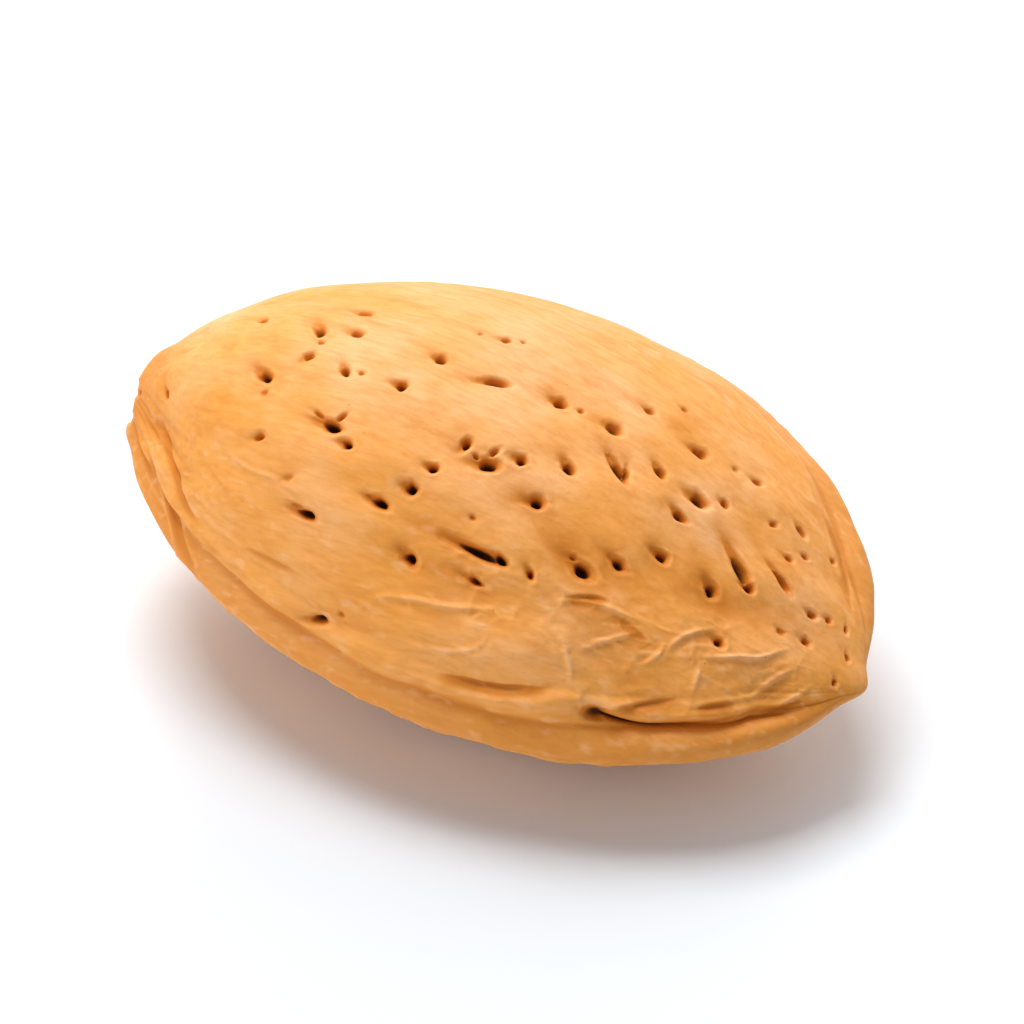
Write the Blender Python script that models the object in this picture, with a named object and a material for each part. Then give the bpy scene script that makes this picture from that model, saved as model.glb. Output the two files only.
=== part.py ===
"""An almond in its shell, lying on one of its two broad sides: one closed solid.

Frame: +X runs along the almond to its tip, the keel faces -Y and +Z is up.
The origin is on the surface that the almond lies on, under the middle of its box.
Dimensions are in millimetres, and MM turns them into Blender's metres.
"""

import math
import random

import bmesh
import bpy
from mathutils import Euler, Matrix, Vector, noise

MM = 0.001
OBJECT_NAME = "almond_in_shell"
NODE_NAME = "almond_shell"

# Overall form. The widths are measured from the line that joins the two ends.
LENGTH = 38.0
KEEL_WIDTH = 10.6
BACK_WIDTH = 13.9
HALF_THICKNESS = 7.6
# How fast each measure grows from the stem end, and how fast it shrinks to the tip
KEEL_POWERS = (0.62, 0.58)
BACK_POWERS = (0.60, 0.58)
THICKNESS_POWERS = (0.51, 0.885)
# 1 is an elliptical section; more makes the sides flatter and the edges sharper
LENS_POWER = 1.45
RIM_ROUNDING = 0.6
TIP_ROUNDING = 2.6
TIP_ROUNDING_REACH = 0.05
BEAK_LENGTH = 0.55
BEAK_RADIUS = 0.9

# The seams: lanes are angles round the section, counted from the nearest edge
SEAM_LANE = math.radians(13.5)
SEAM_HEIGHT = 1.0
WIDEST_SEAM_ANGLE = math.radians(38.0)
LIP_HEIGHT = 0.42
LIP_LANE_WIDTH = math.radians(7.5)
GROOVE_LANE_WIDTH = math.radians(3.4)
GROOVE_DEPTH = 0.14
CRACK_DEPTH = 0.42
# Stations between which the groove is a deep crack, from and to where it grows and fades
UPPER_CRACK = (0.42, 0.50, 0.82, 0.97)
UNDER_CRACK = (-0.65, -0.50, 0.30, 0.48)
# On the upper side the crack starts above the groove and ends below it: how far, and where
CRACK_START_RISE = math.radians(6.5)
CRACK_START = (0.30, 0.46, 0.66)
CRACK_END_FALL = math.radians(3.8)
CRACK_END = (0.70, 0.82)
SECOND_RIDGE_HEIGHT = 0.16
SECOND_RIDGE_LANE = math.radians(20.0)
SECOND_RIDGE_LANE_WIDTH = math.radians(3.8)
BACK_RIDGE_HEIGHT = 0.26
BACK_RIDGE_LANE_WIDTH = math.radians(5.0)
BACK_GROOVE_DEPTH = 0.14
BACK_RIDGE_AT_STEM = 0.45
# How quickly the relief of the sides dies away at both ends
END_FADE = 4.0

# Folds of the shell: (depth, length, width, shift) of three layers of waves,
# and how strong they are beside the back, at the stem and on the edges themselves
FOLD_LAYERS = (
    (0.42, 9.0, 6.0, 3.1),
    (0.42, 6.0, 2.4, 11.7),
    (0.16, 3.2, 1.8, 27.3),
)
FOLDS_AT_BACK = 0.55
FOLDS_AT_STEM = 0.55
FOLDS_AT_EDGE = 0.4
FOLDS_FULL_LANE = math.radians(25.0)

# The stem scar, an oval hollow with a raised ring and ribs round it
SCAR_RADIUS = 2.0
SCAR_FLOOR_RADIUS = 1.1
SCAR_DEPTH = 0.75
SCAR_HOLE_RADIUS = 0.75
SCAR_HOLE_DEPTH = 0.9
SCAR_RING_RADIUS = 2.3
SCAR_RING_HEIGHT = 0.32
SCAR_RING_WIDTH = 0.55
SCAR_RIBS = 11
SCAR_RIB_HEIGHT = 0.12
SCAR_RIB_RADIUS = 3.4
SCAR_RIB_WIDTH = 1.0

# Pits on the upper side: along, across, length, width, turn in degrees, depth.
# Along runs from the middle to the tip, and across from the keel to the back.
UPPER_PITS = (
    (-16.4, -2.1, 0.7, 0.4, -60, 0.5),
    (-13.5, 2.5, 0.6, 0.5, 0, 0.4),
    (-11.5, -1.1, 0.9, 0.6, -30, 0.8),
    (-10.3, 2.3, 1.0, 0.6, -45, 0.8),
    (-9.9, 0.5, 0.7, 0.5, 60, 0.5),
    (-10.1, -4.0, 0.7, 0.5, 20, 0.4),
    (-9.1, 4.5, 1.0, 0.5, 0, 0.5),
    (-8.6, 2.8, 0.8, 0.6, 0, 0.6),
    (-7.8, 0.2, 0.8, 0.5, -50, 0.6),
    (-7.0, -2.7, 1.3, 0.6, 0, 1.0),
    (-5.8, -3.3, 0.6, 0.5, 0, 0.8),
    (-6.5, -6.4, 1.2, 0.5, -8, 0.9),
    (-5.0, 0.5, 0.6, 0.6, 0, 0.8),
    (-4.2, 3.0, 0.6, 0.6, 0, 0.8),
    (-4.3, -9.4, 1.1, 0.5, 5, 0.7),
    (-3.2, -5.1, 1.1, 0.5, -5, 0.9),
    (-2.3, 5.9, 0.6, 0.5, 20, 0.4),
    (-2.1, -4.0, 0.6, 0.6, 0, 0.9),
    (-1.6, -2.8, 0.6, 0.5, 0, 0.8),
    (-1.3, 3.1, 1.5, 0.5, 28, 0.7),
    (-0.9, -6.6, 0.8, 0.6, -20, 0.9),
    (-0.8, -0.9, 0.7, 0.5, 80, 0.7),
    (0.6, -1.4, 1.0, 0.7, 20, 1.0),
    (1.7, 3.8, 0.7, 0.7, 0, 0.9),
    (1.8, -0.4, 0.6, 0.6, 0, 0.8),
    (2.0, -5.2, 2.4, 0.5, 2, 1.0),
    (2.4, -6.3, 1.0, 0.4, -5, 0.6),
    (3.4, -1.9, 0.8, 0.6, 20, 0.9),
    (3.8, 0.5, 0.8, 0.6, -40, 0.9),
    (4.4, 4.0, 0.8, 0.7, 0, 0.6),
    (4.6, -5.0, 0.6, 0.4, -40, 0.6),
    (5.1, 6.3, 0.6, 0.5, -20, 0.5),
    (5.8, 1.8, 1.5, 0.5, -37, 1.0),
    (6.6, -3.6, 1.2, 0.7, -10, 1.0),
    (7.3, 3.1, 0.8, 0.5, -35, 0.8),
    (7.9, -2.4, 0.8, 0.5, -10, 0.8),
    (8.1, 5.6, 0.8, 0.6, 0, 0.7),
    (9.1, 1.5, 0.8, 0.5, -20, 0.8),
    (9.4, 2.9, 1.0, 0.8, 0, 0.9),
    (9.4, -0.9, 0.8, 0.6, 0, 0.9),
    (10.4, 3.7, 0.5, 0.5, 0, 0.5),
    (10.9, 6.0, 0.6, 0.5, 0, 0.4),
    (12.0, -0.8, 0.8, 0.6, -30, 0.9),
    (12.6, 0.9, 2.1, 0.6, -35, 0.9),
    (13.3, -2.9, 0.6, 0.5, 0, 0.6),
    (13.7, 5.0, 0.8, 0.4, -30, 0.5),
    (14.0, 3.2, 0.5, 0.4, 0, 0.4),
    (14.3, 1.8, 1.6, 0.4, -25, 0.6),
    (16.1, 1.3, 0.6, 0.4, 0, 0.4),
    (16.5, -0.1, 0.5, 0.5, 0, 0.4),
)
# The rows of pits on the under side
ROW_SPACING = 2.3
PIT_SPACING = 2.9
PIT_SPACING_CHANGE = (0.8, 1.25)
PIT_JITTER = 0.7
PIT_LENGTHS = (0.6, 1.5)
PIT_WIDTHS = (0.5, 0.7)
PIT_DEPTHS = (0.5, 0.9)
PIT_LONGEST_TURN = 40.0
PIT_CLEARANCE = 1.6
PITTED_LENGTH_SHARE = 0.86
PITTED_WIDTH_SHARE = 0.8
SEED = 7
PIT_SIDES = 6
PIT_FLOOR = 0.35
CUTTER_OVERSHOOT = 0.5

# How it lies: the keel side dips, the tip dips a little, and a small flat bears
ROLL = math.radians(11.2)
PITCH = math.radians(5.0)
REST_FLAT_DEPTH = 0.35
REST_FLAT_MARGIN = 0.45

SECTION_POINTS = 76
STATION_RINGS = 46
QUARTER_TURN = math.pi / 2
SLOPE_STEP = 0.05


def smooth_step(start, end, value):
    """Rise smoothly from 0 at start to 1 at end."""
    share = min(1.0, max(0.0, (value - start) / (end - start)))
    return share * share * (3.0 - 2.0 * share)


def bell(value, centre, width):
    """A bump of height 1 round centre."""
    return math.exp(-((value - centre) / width) ** 2)


def profile(station, powers):
    """Rise from 0 at the stem end (-1) to 1 and fall to 0 at the tip (+1)."""
    stem_power, tip_power = powers
    station = min(1.0, max(-1.0, station))
    peak = (stem_power - tip_power) / (stem_power + tip_power)
    height = (1.0 + station) ** stem_power * (1.0 - station) ** tip_power
    return height / ((1.0 + peak) ** stem_power * (1.0 - peak) ** tip_power)


def edge_half_thickness(station):
    """How thick the rounded edge is, half of it, with more at the beak."""
    to_tip = max(0.0, 1.0 - station)
    rim = RIM_ROUNDING * math.sqrt(max(0.0, 1.0 - station * station))
    beak = TIP_ROUNDING * math.sqrt(to_tip) * math.exp(-to_tip / TIP_ROUNDING_REACH)
    return rim + beak


def lane_power(thickness):
    """Bend the lanes so that the seam's lane stays the same height over the edge."""
    lowest_ratio = math.sin(WIDEST_SEAM_ANGLE) ** LENS_POWER
    ratio = min(SEAM_HEIGHT / max(thickness, SEAM_HEIGHT), lowest_ratio)
    seam_angle = math.asin(ratio ** (1.0 / LENS_POWER))
    return math.log(seam_angle / QUARTER_TURN) / math.log(SEAM_LANE / QUARTER_TURN)


def split_angle(around):
    """Turn the angle from the keel into the lane, the keel's side and the upper side."""
    on_keel_side = abs(around) <= QUARTER_TURN
    lane = abs(around) if on_keel_side else math.pi - abs(around)
    return lane, on_keel_side, around >= 0.0


def edge_distance(station, on_keel_side):
    """How far the keel or the back stands from the line between the ends."""
    if on_keel_side:
        return KEEL_WIDTH * profile(station, KEEL_POWERS)
    return BACK_WIDTH * profile(station, BACK_POWERS)


def side_height(station, rise, is_upper):
    """The height over the middle plane; rise is 0 at the edge and 1 at the middle."""
    thickness = HALF_THICKNESS * profile(station, THICKNESS_POWERS)
    height = thickness * rise ** LENS_POWER + edge_half_thickness(station) * rise
    return height if is_upper else -height


def body_point(station, around):
    """The smooth body, with no relief: a lens that tapers to both ends."""
    lane, on_keel_side, is_upper = split_angle(around)
    thickness = HALF_THICKNESS * profile(station, THICKNESS_POWERS)
    angle = QUARTER_TURN * (lane / QUARTER_TURN) ** lane_power(thickness)
    across = edge_distance(station, on_keel_side) * math.cos(angle)
    height = side_height(station, math.sin(angle), is_upper)
    return Vector((LENGTH / 2 * station, -across if on_keel_side else across, height))


def crack_shift(station, is_upper):
    """How far the crack runs above or below the lane of the groove."""
    if not is_upper:
        return 0.0
    rises, highest, level = CRACK_START
    start = smooth_step(rises, highest, station) * (1.0 - smooth_step(highest, level, station))
    return CRACK_START_RISE * start - CRACK_END_FALL * smooth_step(*CRACK_END, station)


def keel_relief(station, lane, is_upper):
    """The keel's rounded lip, the groove and the crack above it and the ridge above those."""
    lip = LIP_HEIGHT * bell(lane, 0.0, LIP_LANE_WIDTH)
    opens, open_wide, closes, closed = UPPER_CRACK if is_upper else UNDER_CRACK
    opening = smooth_step(opens, open_wide, station)
    closing = smooth_step(closes, closed, station)
    shift = crack_shift(station, is_upper)
    groove = GROOVE_DEPTH * bell(lane, SEAM_LANE, GROOVE_LANE_WIDTH)
    crack = CRACK_DEPTH * opening * (1.0 - closing)
    crack *= bell(lane, SEAM_LANE + shift, GROOVE_LANE_WIDTH)
    ridge = SECOND_RIDGE_HEIGHT
    ridge *= bell(lane, SECOND_RIDGE_LANE + shift, SECOND_RIDGE_LANE_WIDTH)
    return lip - groove - crack + ridge


def back_relief(station, lane):
    """The thinner ridge along the back, plainest at the stem and sharpest at the tip."""
    growth = BACK_RIDGE_AT_STEM + (1.0 - BACK_RIDGE_AT_STEM) * smooth_step(-0.6, 0.8, station)
    ridge = BACK_RIDGE_HEIGHT * bell(lane, 0.0, BACK_RIDGE_LANE_WIDTH)
    groove = BACK_GROOVE_DEPTH * bell(lane, SEAM_LANE, GROOVE_LANE_WIDTH)
    return growth * (ridge - groove)


def fold_relief(point, station, lane):
    """Long soft folds, stronger beside the keel and towards the tip, weak on the edges."""
    near_keel = 1.0 - smooth_step(-KEEL_WIDTH / 2, KEEL_WIDTH / 2, point.y)
    near_tip = smooth_step(-0.3, 0.7, station)
    off_edge = smooth_step(0.0, FOLDS_FULL_LANE, lane)
    strength = FOLDS_AT_BACK + (1.0 - FOLDS_AT_BACK) * near_keel
    strength *= FOLDS_AT_STEM + (1.0 - FOLDS_AT_STEM) * near_tip
    strength *= FOLDS_AT_EDGE + (1.0 - FOLDS_AT_EDGE) * off_edge
    height = 0.0
    for depth, length, width, shift in FOLD_LAYERS:
        place = Vector((point.x / length + shift, point.y / width, point.z / width - shift))
        height += depth * noise.noise(place)
    return strength * height


def scar_relief(point, around):
    """The stem scar, measured along the almond: positive sinks towards the middle."""
    radius = math.hypot(point.y, point.z)
    hollow = SCAR_DEPTH * (1.0 - smooth_step(SCAR_FLOOR_RADIUS, SCAR_RADIUS, radius))
    hole = SCAR_HOLE_DEPTH * bell(radius, 0.0, SCAR_HOLE_RADIUS)
    ring = SCAR_RING_HEIGHT * bell(radius, SCAR_RING_RADIUS, SCAR_RING_WIDTH)
    rib_wave = math.cos(SCAR_RIBS * around)
    ribs = SCAR_RIB_HEIGHT * rib_wave * bell(radius, SCAR_RIB_RADIUS, SCAR_RIB_WIDTH)
    return hollow + hole - ring - ribs


def shell_relief(point, station, around):
    """Everything that stands out of the smooth body along its normal."""
    lane, on_keel_side, is_upper = split_angle(around)
    ends = min(1.0, END_FADE * (1.0 - station * station))
    seam = keel_relief(station, lane, is_upper) if on_keel_side else back_relief(station, lane)
    return ends * (seam + fold_relief(point, station, lane))


def shape_shell(mesh_data):
    """Turn a unit sphere, poles on X, into the shell."""
    places = []
    for vertex in mesh_data.verts:
        station = vertex.co.x
        around = math.atan2(vertex.co.z, -vertex.co.y)
        places.append((station, around))
        vertex.co = body_point(station, around)
    mesh_data.normal_update()
    for vertex, (station, around) in zip(mesh_data.verts, places):
        point = vertex.co.copy()
        vertex.co += vertex.normal * shell_relief(point, station, around)
        radius = math.hypot(point.y, point.z)
        if station < 0.0:
            vertex.co.x += scar_relief(point, around)
        else:
            vertex.co.x += BEAK_LENGTH * bell(radius, 0.0, BEAK_RADIUS)


def side_point(along, across, is_upper):
    """The point of the smooth body over a place seen from straight above or below."""
    station = 2.0 * along / LENGTH
    share = across / edge_distance(station, across < 0.0)
    rise = math.sqrt(max(0.0, 1.0 - share * share))
    return Vector((along, across, side_height(station, rise, is_upper)))


def side_frame(along, across, is_upper, turn):
    """Where a pit goes: X along its length, Z out of the shell."""
    here = side_point(along, across, is_upper)
    ahead = side_point(along + SLOPE_STEP, across, is_upper) - here
    aside = side_point(along, across + SLOPE_STEP, is_upper) - here
    outward = ahead.cross(aside).normalized()
    if not is_upper:
        outward.negate()
    ahead.normalize()
    ahead.rotate(Matrix.Rotation(math.radians(turn), 3, outward))
    aside = outward.cross(ahead)
    frame = Matrix((ahead, aside, outward)).transposed().to_4x4()
    frame.translation = here
    return frame


def is_pitted(along, across):
    """True where the sides are broad enough for a pit, away from edges and ends."""
    station = 2.0 * along / LENGTH
    if abs(station) > PITTED_LENGTH_SHARE:
        return False
    return abs(across) < PITTED_WIDTH_SHARE * edge_distance(station, across < 0.0)


def pit_rows(draw):
    """Rows of pits along the under side, each pit a little off its row."""
    across = -KEEL_WIDTH
    while across < BACK_WIDTH:
        along = -LENGTH / 2 + draw.uniform(0.0, PIT_SPACING)
        while along < LENGTH / 2:
            place_along = along + draw.uniform(-PIT_JITTER, PIT_JITTER)
            place_across = across + draw.uniform(-PIT_JITTER, PIT_JITTER)
            length = draw.uniform(*PIT_LENGTHS)
            width = draw.uniform(*PIT_WIDTHS)
            turn = draw.uniform(-PIT_LONGEST_TURN, PIT_LONGEST_TURN)
            depth = draw.uniform(*PIT_DEPTHS)
            if is_pitted(place_along, place_across):
                yield place_along, place_across, False, length, width, turn, depth
            along += PIT_SPACING * draw.uniform(*PIT_SPACING_CHANGE)
        across += ROW_SPACING


def plan_pits():
    """All pits, the hand-placed ones first; the rows keep clear of those before."""
    pits = []
    for along, across, length, width, turn, depth in UPPER_PITS:
        pits.append((along, across, True, length, width, turn, depth))
    for pit in pit_rows(random.Random(SEED)):
        point = side_point(*pit[:3])
        gaps = [(side_point(*other[:3]) - point).length for other in pits]
        if min(gaps) > PIT_CLEARANCE:
            pits.append(pit)
    return pits


def add_pit_cutter(mesh_data, pit, lie):
    """One tapered plug, long way along the pit and small end at its floor."""
    along, across, is_upper, length, width, turn, depth = pit
    frame = lie @ side_frame(along, across, is_upper, turn)
    if frame.translation.z < REST_FLAT_MARGIN:
        return 0
    mouth_growth = 1.0 + (1.0 - PIT_FLOOR) * CUTTER_OVERSHOOT / depth
    stretch = Matrix.Diagonal((length / 2, width / 2, 1.0, 1.0))
    middle = Matrix.Translation((0.0, 0.0, (CUTTER_OVERSHOOT - depth) / 2))
    bmesh.ops.create_cone(
        mesh_data,
        cap_ends=True,
        segments=PIT_SIDES,
        radius1=PIT_FLOOR,
        radius2=mouth_growth,
        depth=depth + CUTTER_OVERSHOOT,
        matrix=frame @ stretch @ middle,
    )
    return 1


def lying_pose(mesh_data):
    """Roll and pitch the shell, then centre its box over the origin, flat at zero."""
    turn = Euler((ROLL, PITCH, 0.0)).to_matrix().to_4x4()
    places = [turn @ vertex.co for vertex in mesh_data.verts]
    middle_x = (min(p.x for p in places) + max(p.x for p in places)) / 2
    middle_y = (min(p.y for p in places) + max(p.y for p in places)) / 2
    floor = min(p.z for p in places) + REST_FLAT_DEPTH
    return Matrix.Translation((-middle_x, -middle_y, -floor)) @ turn


def add_object(name, mesh_data, collection):
    """Make an object in metres from a mesh in millimetres."""
    bmesh.ops.scale(mesh_data, vec=(MM, MM, MM), verts=mesh_data.verts)
    mesh = bpy.data.meshes.new(name)
    mesh_data.to_mesh(mesh)
    mesh_data.free()
    new_object = bpy.data.objects.new(name, mesh)
    collection.objects.link(new_object)
    return new_object


def add_collection(name):
    collection = bpy.data.collections.new(name)
    bpy.context.scene.collection.children.link(collection)
    return collection


def make_shell(collection):
    """The shell on its own; returns it with the pose that it lies in."""
    mesh_data = bmesh.new()
    bmesh.ops.create_uvsphere(
        mesh_data,
        u_segments=SECTION_POINTS,
        v_segments=STATION_RINGS,
        radius=1.0,
        matrix=Matrix.Rotation(QUARTER_TURN, 4, "Y"),
    )
    shape_shell(mesh_data)
    lie = lying_pose(mesh_data)
    bmesh.ops.transform(mesh_data, matrix=lie, verts=mesh_data.verts)
    return add_object(NODE_NAME, mesh_data, collection), lie


def make_pit_cutters(collection, lie):
    """All the pits' plugs in one object."""
    mesh_data = bmesh.new()
    count = 0
    for pit in plan_pits():
        count += add_pit_cutter(mesh_data, pit, lie)
    print("pits cut:", count)
    return add_object("pit_cutters", mesh_data, collection)


def make_flat_cutter(collection):
    """A block under the surface that the almond lies on."""
    mesh_data = bmesh.new()
    bmesh.ops.create_cube(
        mesh_data,
        size=LENGTH,
        matrix=Matrix.Translation((0.0, 0.0, -LENGTH / 2)),
    )
    return add_object("rest_flat_cutter", mesh_data, collection)


def cut(shell, cutter):
    """Take the cutter's shape out of the shell and hide the cutter."""
    cutter.hide_render = True
    cutter.display_type = "WIRE"
    boolean = shell.modifiers.new(cutter.name, "BOOLEAN")
    boolean.operation = "DIFFERENCE"
    boolean.solver = "EXACT"
    boolean.object = cutter


def shell_material():
    """Dry pale brown shell, dull as wood."""
    material = bpy.data.materials.new("almond_shell")
    material.use_nodes = True
    surface = material.node_tree.nodes["Principled BSDF"]
    surface.inputs["Base Color"].default_value = (0.73, 0.42, 0.17, 1.0)
    surface.inputs["Roughness"].default_value = 0.6
    surface.inputs["Metallic"].default_value = 0.0
    return material


def main():
    for old in list(bpy.data.objects):
        bpy.data.objects.remove(old, do_unlink=True)
    parts = add_collection(OBJECT_NAME)
    cutters = add_collection("cutters")
    shell, lie = make_shell(parts)
    shell.data.materials.append(shell_material())
    shell.data.shade_smooth()
    cut(shell, make_pit_cutters(cutters, lie))
    cut(shell, make_flat_cutter(cutters))


main()
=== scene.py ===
# %% [markdown]
# # An almond in its shell
#
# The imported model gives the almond's real size and the place where it lies. This script gives
# it its looks: the pitted and folded shell, the keel with its crack, the stem scar and the
# colours. Lengths are in millimetres, and MM turns them into Blender's metres.

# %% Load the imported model
import math
import random
from collections import namedtuple

import bpy
import numpy as np
from mathutils import Euler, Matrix, Vector, kdtree, noise


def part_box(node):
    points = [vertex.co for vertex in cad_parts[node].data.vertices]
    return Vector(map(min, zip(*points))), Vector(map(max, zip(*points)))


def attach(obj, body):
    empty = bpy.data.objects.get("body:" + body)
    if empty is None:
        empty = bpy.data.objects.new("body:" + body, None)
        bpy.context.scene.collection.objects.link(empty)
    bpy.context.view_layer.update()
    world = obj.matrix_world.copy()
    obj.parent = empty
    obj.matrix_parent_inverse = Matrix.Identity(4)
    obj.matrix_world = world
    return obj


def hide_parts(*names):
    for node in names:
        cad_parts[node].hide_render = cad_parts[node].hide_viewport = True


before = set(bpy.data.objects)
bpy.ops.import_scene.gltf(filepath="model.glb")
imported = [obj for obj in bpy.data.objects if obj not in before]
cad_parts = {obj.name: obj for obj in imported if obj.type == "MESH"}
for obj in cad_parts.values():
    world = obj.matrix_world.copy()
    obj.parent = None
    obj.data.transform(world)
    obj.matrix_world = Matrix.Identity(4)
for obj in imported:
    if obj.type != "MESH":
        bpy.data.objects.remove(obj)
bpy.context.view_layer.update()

MM = 0.001
QUARTER_TURN = math.pi / 2

# %% [markdown]
# ## Soft steps and bumps
#
# Nothing on a shell starts or ends suddenly. Two curves are used for everything below: one
# that rises smoothly from 0 to 1, and a bell that stands round a middle value. They take
# whole arrays, so that one call works on every point of a mesh.

# %% Curves
def smooth_step(start, end, value):
    share = np.clip((value - start) / (end - start), 0.0, 1.0)
    return share * share * (3.0 - 2.0 * share)


def bell(value, centre, width):
    return np.exp(-((value - centre) / width) ** 2)


# %% [markdown]
# ## The form of the nut
#
# An almond is a lens that tapers to both ends. Its keel edge is flatter than its back edge,
# and it is thickest nearer the stem. It could be pulled out of a sphere by hand, but then it
# would miss the model's size. So the same few curves that shaped the model shape the sphere:
# a station runs from -1 at the stem to 1 at the tip, and an angle runs round the section.

# %% Sizes of the form
LENGTH = 38.0
KEEL_WIDTH = 10.6
BACK_WIDTH = 13.9
HALF_THICKNESS = 7.6
KEEL_POWERS = (0.62, 0.58)
BACK_POWERS = (0.60, 0.58)
THICKNESS_POWERS = (0.51, 0.885)
LENS_POWER = 1.45
RIM_ROUNDING = 0.6
TIP_ROUNDING = 2.6
TIP_ROUNDING_REACH = 0.05
SEAM_LANE = math.radians(13.5)
SEAM_HEIGHT = 1.0
WIDEST_SEAM_ANGLE = math.radians(38.0)


# %% Curves of the form
def profile(station, powers):
    """Rise from 0 at the stem end to 1 and fall to 0 at the tip."""
    stem_power, tip_power = powers
    station = np.clip(station, -1.0, 1.0)
    peak = (stem_power - tip_power) / (stem_power + tip_power)
    height = (1.0 + station) ** stem_power * (1.0 - station) ** tip_power
    return height / ((1.0 + peak) ** stem_power * (1.0 - peak) ** tip_power)


def edge_half_thickness(station):
    to_tip = np.clip(1.0 - station, 0.0, None)
    rim = RIM_ROUNDING * np.sqrt(np.clip(1.0 - station * station, 0.0, None))
    return rim + TIP_ROUNDING * np.sqrt(to_tip) * np.exp(-to_tip / TIP_ROUNDING_REACH)


def lane_power(thickness):
    """Bend the lanes so that the seam's lane stays the same height over the edge."""
    lowest_ratio = math.sin(WIDEST_SEAM_ANGLE) ** LENS_POWER
    ratio = np.minimum(SEAM_HEIGHT / np.maximum(thickness, SEAM_HEIGHT), lowest_ratio)
    seam_angle = np.arcsin(ratio ** (1.0 / LENS_POWER))
    return np.log(seam_angle / QUARTER_TURN) / math.log(SEAM_LANE / QUARTER_TURN)


def split_angle(around):
    """The angle from the nearest edge, and whether it is on the keel's and the upper side."""
    on_keel_side = np.abs(around) <= QUARTER_TURN
    lane = np.where(on_keel_side, np.abs(around), math.pi - np.abs(around))
    return lane, on_keel_side, around >= 0.0


def edge_distance(station, on_keel_side):
    keel = KEEL_WIDTH * profile(station, KEEL_POWERS)
    back = BACK_WIDTH * profile(station, BACK_POWERS)
    return np.where(on_keel_side, keel, back)


def side_height(station, rise, is_upper):
    thickness = HALF_THICKNESS * profile(station, THICKNESS_POWERS)
    height = thickness * rise ** LENS_POWER + edge_half_thickness(station) * rise
    return np.where(is_upper, height, -height)


def body_points(station, around):
    """The smooth body, with no relief."""
    lane, on_keel_side, is_upper = split_angle(around)
    thickness = HALF_THICKNESS * profile(station, THICKNESS_POWERS)
    angle = QUARTER_TURN * (lane / QUARTER_TURN) ** lane_power(thickness)
    across = edge_distance(station, on_keel_side) * np.cos(angle)
    height = side_height(station, np.sin(angle), is_upper)
    along = LENGTH / 2 * station
    return np.stack([along, np.where(on_keel_side, -across, across), height], axis=-1)


# %% [markdown]
# ## The sphere
#
# The shell starts as a sphere as long as the almond, with its poles at the stem and the tip,
# so that its rows of faces run along the nut as the fibres of a real shell do. A round
# sphere made of triangles would be more even, but its rows would cross the keel.

# %% Add the sphere
SPHERE_SEGMENTS = 256
SPHERE_RINGS = 180
SPHERE_RADIUS = LENGTH / 2

bpy.ops.object.select_all(action="DESELECT")
bpy.ops.mesh.primitive_uv_sphere_add(
    segments=SPHERE_SEGMENTS,
    ring_count=SPHERE_RINGS,
    radius=SPHERE_RADIUS * MM,
    rotation=(0.0, QUARTER_TURN, 0.0),
)
shell = bpy.context.object
shell.name = shell.data.name = "pitted_shell"
bpy.ops.object.transform_apply(location=False, rotation=True, scale=False)
print("sphere faces:", len(shell.data.polygons))


# %% Read and write the points of a mesh
def read_points(mesh):
    points = np.empty(len(mesh.vertices) * 3)
    mesh.vertices.foreach_get("co", points)
    return points.reshape(-1, 3) / MM


def write_points(mesh, points):
    mesh.vertices.foreach_set("co", (points * MM).ravel())
    mesh.update()


def station_and_angle(points):
    """Where points of the sphere lie along and round the almond."""
    station = np.clip(points[:, 0] / SPHERE_RADIUS, -1.0, 1.0)
    return station, np.arctan2(points[:, 2], -points[:, 1])


# %% [markdown]
# ## Where the pits are
#
# Pits are the holes that the hull's vessels left in the shell. On the side that shows, each
# one was read, as it is from a real nut: along, across, length, width, turn and depth.
# Fainter marks and the arms of the large pits follow in the same form. The other side has
# rows of pits that are drawn at random with a seed, so that they stay the same every time.

# %% Pits listed one by one
Pit = namedtuple("Pit", "along across is_upper length width turn depth")

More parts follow.
